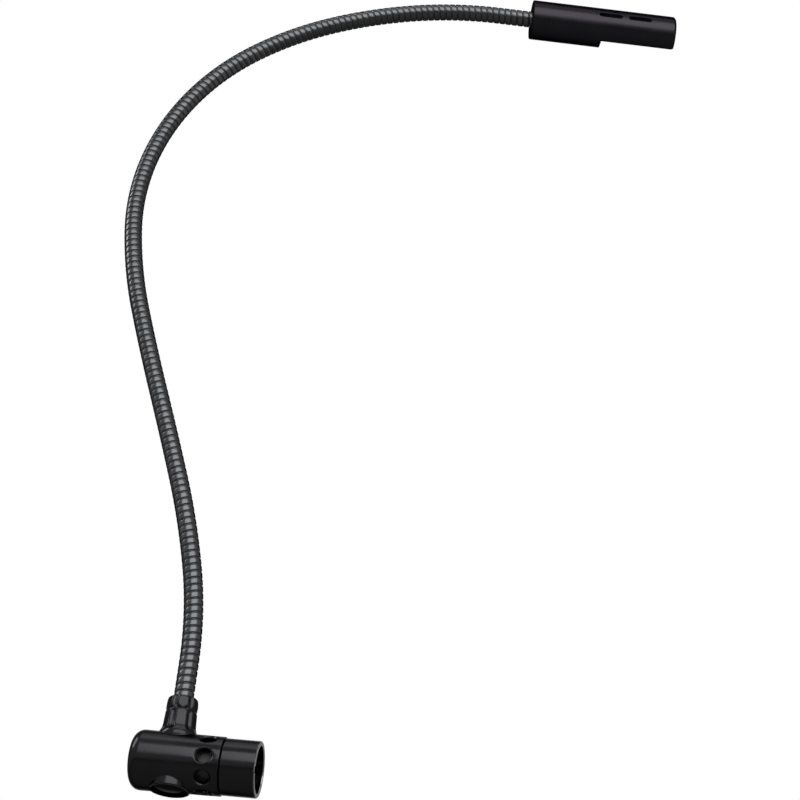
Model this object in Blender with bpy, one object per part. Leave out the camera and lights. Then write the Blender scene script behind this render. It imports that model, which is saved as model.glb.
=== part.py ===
"""A gooseneck console lamp on a right-angle three-pin plug.

Metres, +Z up. The origin is the centre of the plug nose's front rim. +X points out of the nose, and the
collar stands up along +Z with a small lean. The neck is a wound, ribbed tube, cut into links that turn on
each other.
"""

import math

import bmesh
import bpy
from mathutils import Matrix, Vector

# Fits
FIT = 0.0003
EDGE = 0.0003

# Plug nose
NOSE_OD = 0.0190
NOSE_WALL = 0.0017
NOSE_LENGTH = 0.0119
NOSE_SHOULDER = 0.0010
KEYWAY_WIDTH = 0.0024
KEYWAY_LENGTH = 0.0035
KEYWAY_ANGLE = 200.0

# Contacts: each angle is seen from the front, from +Y towards +Z
INSERT_RECESS = 0.0125
PIN_DIA = 0.0024
PIN_REACH = 0.0095
PIN_TAIL = 0.0030
PIN_CIRCLE = 0.0088
PIN_ANGLES = (45.0, 135.0, 270.0)

# Housing barrel
BARREL_LENGTH = 0.0314
BARREL_WALL = 0.0011
BARREL_TAPER = 0.00025
BARREL_ROUND = 0.0038
CHAMBER_END_WALL = 0.0035

# Ring of index holes round the front of the barrel
HOLE_COUNT = 8
HOLE_SETBACK = 0.0054
HOLE_DIA = 0.0048
HOLE_FLARE = 0.0012
HOLE_FLARE_DEPTH = 0.0008

# Screw that locks the nose, in the index hole that faces +Y
SCREW_ANGLE = 0.0
SCREW_HEAD = 0.0009
SCREW_DIA = 0.0026
SCREW_REACH = 0.0020
SCREW_SLOT = 0.0008
SCREW_SLOT_DEPTH = 0.0004

# Boss and cap under the neck
BOSS_OD = 0.0142
BOSS_INSET = 0.00020
BOSS_CHAMFER = 0.0008
BOSS_WALL = 0.0007
CAP_THICKNESS = 0.0016
CAP_SINK = 0.0009
CAP_RIM = 0.0004
CAP_DOME = 0.0006
CAP_LEDGE = 0.0014
CAP_SPIGOT = 0.0014
LEDGE_WALL = 0.0007

# Collar that is crimped on the neck: it leans away from the nose
COLLAR_LEAN = 2.0
COLLAR_RISE = 0.0125
COLLAR_TIER = 0.0050
COLLAR_WALL = 0.00145
COLLAR_STEP = 0.00055
COLLAR_SPREAD = 0.00035
COLLAR_FLARE = 0.0010
COLLAR_LOBES = 6
COLLAR_TURN = 14.0
COLLAR_GROOVE = 0.0005

# Neck: a bend is the angle that one link turns through, towards the head
NECK_SETBACK = 0.0171
NECK_TURN = 9.5
NECK_OD = 0.0073
NECK_ROOT_OD = 0.0061
NECK_BORE = 0.0036
RIB_PITCH = 0.00266
RIBS_PER_LINK = 14
RIBS_AT_END = 5
LINK_BENDS = (-12.5, -6.5, -1.0, 2.0, 10.0, 19.0, 18.5, 19.0, 15.0, 12.0, 14.0)
JOINT_RELIEF = 0.0003
BEND_LIMIT = 20.0
SPIGOT_STEP = 0.00025
SPIGOT_LENGTH = 0.0130
LEAD_SLACK = 0.0004
LEAD_LAP = 0.0006

# Lamp holder
HOLDER_SETBACK = 0.0008
HOLDER_FLANGE = 0.0010
HOLDER_WEB = 0.0020
HOLDER_CUP = 0.0162
HOLDER_WALL = 0.0013
INSULATOR_LENGTH = 0.0062
INSULATOR_FLOOR = 0.0018
POCKET_DIA = 0.0050
PLUNGER_SLACK = 0.0004
PLUNGER_HEAD = 0.0018
PLUNGER_STEM_DIA = 0.0018
PLUNGER_RISE = 0.0016
SPRING_TURNS = 4
SPRING_WIRE = 0.00034

# Lamp
LAMP_CAP_OD = 0.0092
LAMP_CAP_LENGTH = 0.0092
LAMP_CAP_SLACK = 0.0004
LAMP_CONTACT_DIA = 0.0040
LAMP_CONTACT = 0.0006
BAYONET_DIA = 0.0018
BAYONET_REACH = 0.0011
BAYONET_SETBACK = 0.0040
BAYONET_TWIST = 30.0
GLASS_OD = 0.0082
GLASS_WALL = 0.0007
GLASS_LENGTH = 0.0166
GLASS_TAIL_DIA = 0.0066
GLASS_TAIL = 0.0020
FILAMENT_SPAN = 0.0024
FILAMENT_HEIGHT = 0.0090
FILAMENT_WIRE = 0.0004

# Hood
BUSH_WALL = 0.0006
BUSH_LENGTH = 0.0250
HOOD_WALL = 0.0010
HOOD_START = 0.0008
HOOD_LENGTH = 0.0632
HOOD_END_WALL = 0.0012
HOOD_END_ROUND = 0.0015
HOOD_CUT_START = 0.0318
HOOD_CUT_INSET = 0.00045
HOOD_CUT_TURN = 8.5
HOOD_TURN = 90.0
VENT_COUNT = 2
VENT_LEAD = 0.0022
VENT_PITCH = 0.0130
VENT_LENGTH = 0.0102
VENT_WIDTH = 0.0022

# Facets
ROUND_SIDES = 32
SMALL_SIDES = 16
NECK_SIDES = 8
ARC_STEPS = 4
OVERCUT = 0.0020
SMOOTH_ANGLE = 35.0

# Sizes that follow from those above
NOSE_R = NOSE_OD / 2
NOSE_BORE_R = NOSE_R - NOSE_WALL
NOSE_TAIL_R = NOSE_R - NOSE_SHOULDER
BARREL_BORE_R = NOSE_TAIL_R + FIT
BARREL_FRONT_R = BARREL_BORE_R + BARREL_WALL
BARREL_REAR_R = BARREL_FRONT_R + BARREL_TAPER
BARREL_FRONT = -NOSE_LENGTH - FIT
BARREL_REAR = BARREL_FRONT - BARREL_LENGTH
NECK_X = BARREL_FRONT - NECK_SETBACK
HOLE_X = BARREL_FRONT - HOLE_SETBACK
NOSE_TAIL_END = BARREL_FRONT - NECK_SETBACK + BOSS_OD / 2 + FIT
PIN_END = NOSE_TAIL_END - PIN_TAIL
BOSS_DROP = BARREL_REAR_R - BOSS_INSET
CAP_R = BOSS_OD / 2 - BOSS_WALL - FIT
CAP_SPIGOT_R = CAP_R - CAP_LEDGE
CAP_SEAT = BOSS_DROP - CAP_THICKNESS
CHAMBER_R = CAP_SEAT - FIT - LEDGE_WALL
COLLAR_HEIGHT = BARREL_REAR_R + COLLAR_RISE
COLLAR_WAIST = COLLAR_HEIGHT - COLLAR_TIER
SPIGOT_R = NECK_OD / 2 - SPIGOT_STEP
SPIGOT_BORE_R = SPIGOT_R + FIT
LINK_LENGTH = RIBS_PER_LINK * RIB_PITCH
END_LENGTH = RIBS_AT_END * RIB_PITCH
LINK_END_R = NECK_ROOT_OD / 2 - JOINT_RELIEF
LINK_SETBACK = LINK_END_R * math.tan(math.radians(BEND_LIMIT) / 2) + EDGE / 10
LEAD_R = NECK_BORE / 2 - LEAD_SLACK
LEAD_START = LEAD_LAP + LEAD_R * math.sin(math.radians(BEND_LIMIT)) + FIT
HOLDER_WEB_START = SPIGOT_LENGTH + FIT
CUP_START = HOLDER_WEB_START + HOLDER_WEB
CUP_END = CUP_START + HOLDER_CUP
CUP_R = LAMP_CAP_OD / 2 + LAMP_CAP_SLACK
HOLDER_R = CUP_R + HOLDER_WALL
BUSH_R = HOLDER_R + FIT + BUSH_WALL
BUSH_START = HOLDER_SETBACK + HOLDER_FLANGE + FIT
HOOD_BORE_R = BUSH_R + FIT
HOOD_R = HOOD_BORE_R + HOOD_WALL
HOOD_END = HOOD_START + HOOD_LENGTH
INSULATOR_START = CUP_START + FIT
STEM_R = PLUNGER_STEM_DIA / 2
SPRING_R = (POCKET_DIA / 2 + STEM_R) / 2
INSULATOR_END = INSULATOR_START + INSULATOR_LENGTH
POCKET_FLOOR = INSULATOR_START + INSULATOR_FLOOR
PLUNGER_FACE = INSULATOR_END + PLUNGER_RISE
LAMP_START = PLUNGER_FACE + FIT
LAMP_CAP_START = LAMP_START + LAMP_CONTACT
LAMP_CAP_END = LAMP_CAP_START + LAMP_CAP_LENGTH
BAYONET_Z = LAMP_CAP_START + BAYONET_SETBACK
GLASS_SEAT = LAMP_CAP_END - GLASS_TAIL

# Frames: PLUG has its own Z along +X, with its own X down and its own Y along +Y
PLUG = Matrix.Rotation(math.pi / 2, 4, "Y")
DOWN = Matrix.Translation((NECK_X, 0, 0)) @ Matrix.Rotation(math.pi, 4, "X")
NECK_FOOT = Matrix.Translation((NECK_X, 0, 0)) @ Matrix.Rotation(-math.radians(COLLAR_LEAN), 4, "Y")


def clear_scene():
    for old in list(bpy.data.objects):
        bpy.data.objects.remove(old)


def make_material(name, colour, roughness, metallic):
    made = bpy.data.materials.new(name)
    made.use_nodes = True
    shader = made.node_tree.nodes["Principled BSDF"]
    shader.inputs["Base Color"].default_value = (*colour, 1)
    shader.inputs["Roughness"].default_value = roughness
    shader.inputs["Metallic"].default_value = metallic
    return made


def outward(angle):
    """A frame on the plug's axis whose Z points out at this angle, from +Y towards +Z."""
    turn = math.radians(angle)
    across = Vector((1, 0, 0))
    out = Vector((0, math.cos(turn), math.sin(turn)))
    frame = Matrix((across, out.cross(across), out)).transposed()
    return frame.to_4x4()


def place(obj, parent, frame):
    bpy.context.scene.collection.objects.link(obj)
    obj.parent = parent
    obj.matrix_local = frame
    return obj


def add_piece(name, shape, material, parent=None, frame=Matrix()):
    """One solid piece from a bmesh, which is used up."""
    mesh = bpy.data.meshes.new(name)
    bmesh.ops.recalc_face_normals(shape, faces=shape.faces)
    shape.to_mesh(mesh)
    shape.free()
    mesh.shade_smooth()
    mesh.set_sharp_from_angle(angle=math.radians(SMOOTH_ANGLE))
    mesh.materials.append(material)
    return place(bpy.data.objects.new(name, mesh), parent, frame)


def combine(target, name, shape, frame, operation):
    """Adds a helper shape to a piece, or cuts it away, in the piece's own frame."""
    helper = add_piece(name, shape, target.data.materials[0], target, frame)
    helper.hide_render = True
    helper.display_type = "WIRE"
    change = target.modifiers.new(name, "BOOLEAN")
    change.operation = operation
    change.solver = "EXACT"
    change.object = helper


def cut(target, name, shape, frame=Matrix()):
    combine(target, name, shape, frame, "DIFFERENCE")


def join(target, name, shape, frame=Matrix()):
    combine(target, name, shape, frame, "UNION")


def turned(profile, sides=ROUND_SIDES, ring=False):
    """A shape turned round Z from (radius, height) points; a ring's outline closes on itself."""
    shape = bmesh.new()
    points = [shape.verts.new((radius, 0, height)) for radius, height in profile]
    edges = [shape.edges.new(pair) for pair in zip(points, points[1:])]
    if ring:
        edges.append(shape.edges.new((points[-1], points[0])))
    bmesh.ops.spin(
        shape, geom=points + edges, cent=(0, 0, 0), axis=(0, 0, 1), angle=math.tau, steps=sides
    )
    bmesh.ops.remove_doubles(shape, verts=shape.verts, dist=1e-7)
    return shape


def rod(radius, start, end, sides=SMALL_SIDES):
    return turned([(0, start), (radius, start), (radius, end), (0, end)], sides)


def lofted(rings, loop=False):
    """A skin over rings of points; a loop closes from the last ring to the first."""
    shape = bmesh.new()
    rows = [[shape.verts.new(point) for point in ring] for ring in rings]
    pairs = list(zip(rows, rows[1:]))
    if loop:
        pairs.append((rows[-1], rows[0]))
    for low, high in pairs:
        for side in range(len(low)):
            following = (side + 1) % len(low)
            shape.faces.new((low[side], low[following], high[following], high[side]))
    if not loop:
        shape.faces.new(rows[0])
        shape.faces.new(rows[-1])
    return shape


def block(size, centre):
    shape = bmesh.new()
    bmesh.ops.create_cube(shape, size=1)
    bmesh.ops.scale(shape, vec=size, verts=shape.verts)
    bmesh.ops.translate(shape, vec=centre, verts=shape.verts)
    return shape


def wire(name, points, radius, material, parent):
    """A round wire or lead along points, with closed ends."""
    curve = bpy.data.curves.new(name, "CURVE")
    curve.dimensions = "3D"
    curve.bevel_depth = radius
    curve.bevel_resolution = 1
    curve.use_fill_caps = True
    curve.materials.append(material)
    spline = curve.splines.new("POLY")
    spline.points.add(len(points) - 1)
    for point, place_at in zip(spline.points, points):
        point.co = (*place_at, 1)
    return place(bpy.data.objects.new(name, curve), parent, Matrix())


def make_housing(black):
    """The die-cast body: barrel, bottom boss and collar in one piece, hollow for nose and lead."""
    steps = 3
    end = [(0.0, BARREL_REAR)]
    for step in range(steps + 1):
        angle = math.pi / 2 * step / steps
        out = BARREL_REAR_R - BARREL_ROUND * (1 - math.sin(angle))
        end.append((out, BARREL_REAR + BARREL_ROUND * (1 - math.cos(angle))))
    barrel = turned(end + [(BARREL_FRONT_R, BARREL_FRONT), (0.0, BARREL_FRONT)])
    housing = add_piece("connector_housing", barrel, black, frame=PLUG)
    from_plug = PLUG.inverted()
    boss_r = BOSS_OD / 2
    boss = [
        (0, 0),
        (boss_r, 0),
        (boss_r, BOSS_DROP - BOSS_CHAMFER),
        (boss_r - BOSS_CHAMFER, BOSS_DROP),
        (0, BOSS_DROP),
    ]
    join(housing, "bottom_boss", turned(boss), from_plug @ DOWN)
    join(housing, "collar", collar_shape(), from_plug @ NECK_FOOT)

    tail_stop = NOSE_TAIL_END - FIT
    chamber_end = BARREL_REAR + CHAMBER_END_WALL
    bore = [
        (0, BARREL_FRONT + OVERCUT),
        (BARREL_BORE_R, BARREL_FRONT + OVERCUT),
        (BARREL_BORE_R, tail_stop),
        (CHAMBER_R, tail_stop),
        (CHAMBER_R, chamber_end),
        (0, chamber_end),
    ]
    cut(housing, "barrel_bore", turned(bore))
    neck_bore = rod(SPIGOT_BORE_R, 0, COLLAR_HEIGHT + OVERCUT)
    cut(housing, "neck_bore", neck_bore, from_plug @ NECK_FOOT)
    access = [
        (0, 0),
        (CAP_SPIGOT_R + FIT, 0),
        (CAP_SPIGOT_R + FIT, CAP_SEAT - FIT),
        (CAP_R + FIT, CAP_SEAT - FIT),
        (CAP_R + FIT, BOSS_DROP + OVERCUT),
        (0, BOSS_DROP + OVERCUT),
    ]
    cut(housing, "access_hole", turned(access), from_plug @ DOWN)
    for hole in range(HOLE_COUNT):
        frame = from_plug @ Matrix.Translation((HOLE_X, 0, 0)) @ outward(360 * hole / HOLE_COUNT)
        cut(housing, f"index_hole_{hole + 1}", index_hole_shape(), frame)


def index_hole_shape():
    """A round hole that flares where it comes out of the barrel."""
    hole_r = HOLE_DIA / 2
    surface = BARREL_FRONT_R
    slope = HOLE_FLARE / HOLE_FLARE_DEPTH
    profile = [
        (0, BARREL_BORE_R - OVERCUT),
        (hole_r, BARREL_BORE_R - OVERCUT),
        (hole_r, surface - HOLE_FLARE_DEPTH),
        (hole_r + HOLE_FLARE + slope * OVERCUT, surface + OVERCUT),
        (0, surface + OVERCUT),
    ]
    return turned(profile, SMALL_SIDES)


def collar_shape():
    """Six lobes in two tiers, with a groove between lobes and a waist between tiers."""
    top_r = SPIGOT_BORE_R + COLLAR_WALL
    mid_r = top_r + COLLAR_STEP
    foot_r = mid_r + COLLAR_SPREAD
    foot = BARREL_REAR_R
    tiers = [
        (foot_r + COLLAR_FLARE, foot / 2, 0),
        (foot_r + COLLAR_FLARE, foot, 0),
        (foot_r, foot + COLLAR_FLARE * 2, COLLAR_GROOVE),
        (mid_r, COLLAR_WAIST - COLLAR_GROOVE, COLLAR_GROOVE),
        (mid_r - COLLAR_GROOVE, COLLAR_WAIST, COLLAR_GROOVE / 2),
        (mid_r, COLLAR_WAIST + COLLAR_GROOVE, COLLAR_GROOVE),
        (mid_r - COLLAR_GROOVE / 2, (COLLAR_WAIST + COLLAR_HEIGHT) / 2, COLLAR_GROOVE),
        (top_r, COLLAR_HEIGHT, COLLAR_GROOVE / 2),
    ]
    per_lobe = 5
    sides = COLLAR_LOBES * per_lobe
    rings = []
    for radius, height, groove in tiers:
        ring = []
        for side in range(sides):
            angle = math.tau * side / sides + math.radians(COLLAR_TURN)
            out = radius - groove if side % per_lobe == 0 else radius
            ring.append((out * math.cos(angle), out * math.sin(angle), height))
        rings.append(ring)
    return lofted(rings)


def make_plug(metal, black, plastic, steel):
    nose = [
        (NOSE_BORE_R, -EDGE),
        (NOSE_BORE_R + EDGE, 0),
        (NOSE_R - EDGE, 0),
        (NOSE_R, -EDGE),
        (NOSE_R, -NOSE_LENGTH),
        (NOSE_TAIL_R, -NOSE_LENGTH),
        (NOSE_TAIL_R, NOSE_TAIL_END),
        (NOSE_BORE_R, NOSE_TAIL_END),
    ]
    nose_shell = add_piece("nose_shell", turned(nose, ring=True), black, frame=PLUG)
    keyway = block(
        (KEYWAY_LENGTH * 2, KEYWAY_WIDTH, NOSE_WALL),
        (0, 0, NOSE_BORE_R + NOSE_WALL / 4),
    )
    cut(nose_shell, "keyway", keyway, PLUG.inverted() @ outward(KEYWAY_ANGLE))

    body = rod(NOSE_BORE_R - FIT, NOSE_TAIL_END, -INSERT_RECESS, ROUND_SIDES)
    insert = add_piece("contact_insert", body, plastic, frame=PLUG)
    pin_r = PIN_DIA / 2
    tip = PIN_REACH - INSERT_RECESS
    pin = [(0, PIN_END), (pin_r, PIN_END), (pin_r, tip - pin_r / 2), (pin_r / 2, tip), (0, tip)]
    for number, angle in enumerate(PIN_ANGLES, 1):
        spot = outward(angle) @ Vector((0, 0, PIN_CIRCLE / 2))
        frame = Matrix.Translation(spot) @ PLUG
        hole = rod(pin_r + FIT, NOSE_TAIL_END - OVERCUT, OVERCUT - INSERT_RECESS)
        cut(insert, f"pin_hole_{number}", hole, PLUG.inverted() @ frame)
        add_piece(f"contact_pin_{number}", turned(pin, SMALL_SIDES), metal, frame=frame)

    radial = Matrix.Translation((HOLE_X, 0, 0)) @ outward(SCREW_ANGLE)
    tip_r = NOSE_BORE_R - FIT - SCREW_REACH
    screw_hole = rod(SCREW_DIA / 2 + FIT, tip_r - FIT, NOSE_R)
    for piece in (nose_shell, insert):
        cut(piece, f"screw_hole_in_{piece.name}", screw_hole.copy(), PLUG.inverted() @ radial)
    screw_hole.free()
    head_start = NOSE_TAIL_R + FIT
    head_end = head_start + SCREW_HEAD
    head_r = HOLE_DIA / 2 - FIT
    screw = [
        (0, tip_r),
        (SCREW_DIA / 2, tip_r),
        (SCREW_DIA / 2, head_start),
        (head_r, head_start),
        (head_r, head_end),
        (0, head_end),
    ]
    retaining_screw = add_piece("retaining_screw", turned(screw, SMALL_SIDES), steel, frame=radial)
    slot = block((HOLE_DIA, SCREW_SLOT, SCREW_SLOT_DEPTH * 2), (0, 0, head_end))
    cut(retaining_screw, "screw_slot", slot)


def make_bottom_cap(black):
    face = BOSS_DROP - CAP_SINK
    profile = [
        (0, CAP_SEAT - CAP_SPIGOT),
        (CAP_SPIGOT_R, CAP_SEAT - CAP_SPIGOT),
        (CAP_SPIGOT_R, CAP_SEAT),
        (CAP_R, CAP_SEAT),
        (CAP_R, face - EDGE),
        (CAP_R - EDGE, face),
        (CAP_R - CAP_RIM, face),
        (CAP_R * 0.75, face + CAP_DOME * 0.45),
        (CAP_R * 0.45, face + CAP_DOME * 0.8),
        (0, face + CAP_DOME),
    ]
    add_piece("bottom_cap", turned(profile), black, frame=DOWN)


def along_arc(length, bend, distance):
    """The frame at a distance along an arc that starts up Z and bends towards X."""
    turn = math.radians(bend) * distance / length
    if abs(turn) < 1e-9:
        return Matrix.Translation((0, 0, distance))
    radius = distance / turn
    middle = Vector((radius * (1 - math.cos(turn)), 0, radius * math.sin(turn)))
    return Matrix.Translation(middle) @ Matrix.Rotation(turn, 4, "Y")


def ring_at(frame, radius):
    ring = []
    for side in range(NECK_SIDES):
        angle = math.tau * (side + 0.5) / NECK_SIDES
        ring.append(frame @ Vector((radius * math.cos(angle), radius * math.sin(angle), 0)))
    return ring


def ribs(count, start):
    """(distance, radius) of each crest and of each groove between two crests."""
    outline = []
    for rib in range(count):
        outline.append((start + (rib + 0.5) * RIB_PITCH, NECK_OD / 2))
        if rib < count - 1:
            outline.append((start + (rib + 1) * RIB_PITCH, NECK_ROOT_OD / 2))
    return outline


def tube_link(name, outline, bend, material, parent, frame):
    """A ribbed tube with its bore, along an arc of one link's length."""
    start = outline[0][0]
    end = outline[-1][0]
    outer = [ring_at(along_arc(LINK_LENGTH, bend, at), radius) for at, radius in outline]
    inner = []
    for step in range(ARC_STEPS + 1):
        at = end + (start - end) * step / ARC_STEPS
        inner.append(ring_at(along_arc(LINK_LENGTH, bend, at), NECK_BORE / 2))
    return add_piece(name, lofted(outer + inner, loop=True), material, parent, frame)


def lead_points(bend, start, end):
    points = []
    for step in range(ARC_STEPS + 1):
        at = start + (end - start) * step / ARC_STEPS
        points.append(along_arc(LINK_LENGTH, bend, at).translation)
    return points


def make_neck(steel, rubber):
    """The chain of links, each parented to the one before it at the joint. Returns the last one."""
    root = [(-SPIGOT_LENGTH, SPIGOT_R), (0, SPIGOT_R)]
    root += ribs(RIBS_AT_END, 0) + [(END_LENGTH - LINK_SETBACK, LINK_END_R)]
    stand = NECK_FOOT @ Matrix.Translation((0, 0, COLLAR_HEIGHT + FIT))
    stand @= Matrix.Rotation(math.radians(NECK_TURN), 4, "Z")
    link = tube_link("neck_root", root, 0, steel, None, stand)
    reach = PIN_END - NECK_X
    top = COLLAR_HEIGHT + FIT + END_LENGTH + LEAD_LAP
    route = [(PIN_END, 0, 0), (NECK_X + reach / 3, 0, reach / 3)]
    route += [NECK_FOOT @ Vector((0, 0, rise)) for rise in (reach, COLLAR_HEIGHT, top)]
    wire("lead_root", route, LEAD_R, rubber, None)

    middle = [(LINK_SETBACK, LINK_END_R)] + ribs(RIBS_PER_LINK, 0)
    middle += [(LINK_LENGTH - LINK_SETBACK, LINK_END_R)]
    joint = Matrix.Translation((0, 0, END_LENGTH))
    for number, bend in enumerate(LINK_BENDS, 1):
        link = tube_link(f"neck_link_{number:02d}", middle, bend, steel, link, joint)
        lead = lead_points(bend, LEAD_START, LINK_LENGTH + LEAD_LAP)
        wire(f"lead_{number:02d}", lead, LEAD_R, rubber, link)
        joint = along_arc(LINK_LENGTH, bend, LINK_LENGTH)

    tip = [(LINK_SETBACK, LINK_END_R)] + ribs(RIBS_AT_END, 0)
    tip += [(END_LENGTH, SPIGOT_R), (END_LENGTH + SPIGOT_LENGTH, SPIGOT_R)]
    link = tube_link("neck_tip", tip, 0, steel, link, joint)
    lead_end = END_LENGTH + HOLDER_WEB_START + FIT
    wire("lead_tip", lead_points(0, LEAD_START, lead_end), LEAD_R, rubber, link)
    return link


def make_holder(head, brass, plastic, steel):
    holder = [
        (SPIGOT_BORE_R, HOLDER_SETBACK),
        (BUSH_R, HOLDER_SETBACK),
        (BUSH_R, HOLDER_SETBACK + HOLDER_FLANGE),
        (HOLDER_R, HOLDER_SETBACK + HOLDER_FLANGE),
        (HOLDER_R, CUP_END),
        (CUP_R, CUP_END),
        (CUP_R, CUP_START),
        (LEAD_R + FIT, CUP_START),
        (LEAD_R + FIT, HOLDER_WEB_START),
        (SPIGOT_BORE_R, HOLDER_WEB_START),
    ]
    lamp_holder = add_piece("lamp_holder", turned(holder, ring=True), brass, head)
    slot_width = BAYONET_DIA + FIT * 2
    entry = CUP_END - BAYONET_Z + slot_width
    across = CUP_R * math.radians(BAYONET_TWIST) + slot_width
    for side in range(2):
        seat = math.pi * side
        way_in = Matrix.Rotation(seat - math.radians(BAYONET_TWIST), 4, "Z")
        way_across = Matrix.Rotation(seat - math.radians(BAYONET_TWIST) / 2, 4, "Z")
        low = BAYONET_Z - slot_width / 2
        down = block((HOLDER_WALL * 2, slot_width, entry), (HOLDER_R, 0, low + entry / 2))
        cut(lamp_holder, f"slot_in_{side + 1}", down, way_in)
        turn = block((HOLDER_WALL * 3, across, slot_width), (HOLDER_R, 0, BAYONET_Z))
        cut(lamp_holder, f"slot_across_{side + 1}", turn, way_across)

    insulator_r = CUP_R - FIT
    insulator = [
        (STEM_R + FIT, INSULATOR_START),
        (insulator_r, INSULATOR_START),
        (insulator_r, INSULATOR_END),
        (POCKET_DIA / 2, INSULATOR_END),
        (POCKET_DIA / 2, POCKET_FLOOR),
        (STEM_R + FIT, POCKET_FLOOR),
    ]
    add_piece("holder_insulator", turned(insulator, SMALL_SIDES, ring=True), plastic, head)
    head_back = PLUNGER_FACE - PLUNGER_HEAD
    head_r = POCKET_DIA / 2 - PLUNGER_SLACK
    plunger = [
        (0, INSULATOR_START),
        (STEM_R, INSULATOR_START),
        (STEM_R, head_back),
        (head_r, head_back),
        (head_r, PLUNGER_FACE),
        (0, PLUNGER_FACE),
    ]
    add_piece("contact_plunger", turned(plunger, SMALL_SIDES), brass, head)

    wire_r = SPRING_WIRE / 2
    low = POCKET_FLOOR + FIT + wire_r
    high = head_back - FIT - wire_r
    per_turn = 8
    coil = []
    for step in range(SPRING_TURNS * per_turn + 1):
        angle = math.tau * step / per_turn
        rise = low + (high - low) * step / (SPRING_TURNS * per_turn)
        coil.append((SPRING_R * math.cos(angle), SPRING_R * math.sin(angle), rise))
    wire("contact_spring", coil, wire_r, steel, head)
    print(f"contact_spring gap {(high - low) / SPRING_TURNS - SPRING_WIRE:.5f} m")


def make_lamp(head, brass, glass, steel):
    tail_r = GLASS_TAIL_DIA / 2
    cap_r = LAMP_CAP_OD / 2
    cap = [
        (0, LAMP_START),
        (LAMP_CONTACT_DIA / 2 - LAMP_CONTACT, LAMP_START),
        (LAMP_CONTACT_DIA / 2, LAMP_CAP_START),
        (cap_r, LAMP_CAP_START),
        (cap_r, LAMP_CAP_END),
        (tail_r + FIT, LAMP_CAP_END),
        (tail_r + FIT, GLASS_SEAT),
        (0, GLASS_SEAT),
    ]
    lamp_cap = add_piece("lamp_cap", turned(cap, SMALL_SIDES * 2), brass, head)
    reach = cap_r + BAYONET_REACH
    across = Matrix.Translation((0, 0, BAYONET_Z)) @ Matrix.Rotation(math.pi / 2, 4, "Y")
    join(lamp_cap, "bayonet_pins", rod(BAYONET_DIA / 2, -reach, reach, SMALL_SIDES), across)

    outer_r = GLASS_OD / 2
    glass_start = GLASS_SEAT + FIT
    glass_end = glass_start + GLASS_LENGTH
    dome_start = glass_end - outer_r
    shoulder = glass_start + GLASS_TAIL + outer_r - tail_r
    steps = 4
    outside = [(tail_r, glass_start), (tail_r, glass_start + GLASS_TAIL), (outer_r, shoulder)]
    inside = [(radius - GLASS_WALL, height) for radius, height in outside]
    for step in range(steps + 1):
        angle = math.pi / 2 * step / steps
        for skin, radius in ((outside, outer_r), (inside, outer_r - GLASS_WALL)):
            out = 0.0 if step == steps else radius * math.cos(angle)
            skin.append((out, dome_start + radius * math.sin(angle)))
    add_piece("lamp_glass", turned(inside[::-1] + outside, SMALL_SIDES), glass, head)

    half = FILAMENT_SPAN / 2
    foot = GLASS_SEAT + FIT
    top = glass_start + FILAMENT_HEIGHT
    dip = top - half
    route = [(-half, 0, foot), (-half, 0, dip), (-half / 2, 0, top), (half / 2, 0, top)]
    route += [(half, 0, dip), (half, 0, foot)]
    wire("lamp_filament", route, FILAMENT_WIRE / 2, steel, head)


def obround(length, width, depth, centre):
    """A slot cutter with round ends: its length runs along Z and its depth along X."""
    ends = 6
    outline = []
    for end, offset in ((0, 1), (1, -1)):
        for step in range(ends + 1):
            angle = math.pi * (step / ends + end)
            along = offset * (length - width) / 2 + width / 2 * math.sin(angle)
            outline.append((width / 2 * math.cos(angle), along))
    rings = []
    for side in (-depth / 2, depth / 2):
        rings.append([(centre[0] + side, across, centre[1] + along) for across, along in outline])
    return lofted(rings)


def make_hood(head, nylon, black):
    bush_end = BUSH_START + BUSH_LENGTH
    bush_bore_r = HOLDER_R + FIT
    sleeve = [
        (bush_bore_r, BUSH_START),
        (BUSH_R, BUSH_START),
        (BUSH_R, bush_end),
        (bush_bore_r, bush_end),
    ]
    hood_bush = add_piece("hood_bush", turned(sleeve, ring=True), nylon, head)

    inside_end = HOOD_END - HOOD_END_WALL
    profile = [
        (0, inside_end),
        (HOOD_BORE_R, inside_end),
        (HOOD_BORE_R, HOOD_START + EDGE),
        (HOOD_BORE_R + EDGE, HOOD_START),
        (HOOD_R - EDGE, HOOD_START),
        (HOOD_R, HOOD_START + EDGE),
    ]
    steps = 3
    for step in range(steps + 1):
        angle = math.pi / 2 * step / steps
        out = HOOD_R - HOOD_END_ROUND * (1 - math.cos(angle))
        profile.append((out, HOOD_END - HOOD_END_ROUND * (1 - math.sin(angle))))
    profile.append((0, HOOD_END))
    turn = Matrix.Rotation(math.radians(HOOD_TURN), 4, "Z")
    hood = add_piece("hood", turned(profile), black, hood_bush, turn)
    opening = HOOD_END - HOOD_CUT_START + OVERCUT
    side = block(
        (HOOD_R * 2, HOOD_R * 3, opening),
        (HOOD_R + HOOD_CUT_INSET, 0, HOOD_CUT_START + opening / 2),
    )
    cut(hood, "hood_opening", side, Matrix.Rotation(-math.radians(HOOD_CUT_TURN), 4, "Z"))
    first = HOOD_CUT_START - VENT_LEAD + VENT_LENGTH / 2
    for vent in range(VENT_COUNT):
        centre = (-HOOD_R, first + vent * VENT_PITCH)
        cut(hood, f"vent_{vent + 1}", obround(VENT_LENGTH, VENT_WIDTH, HOOD_R, centre))


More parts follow.
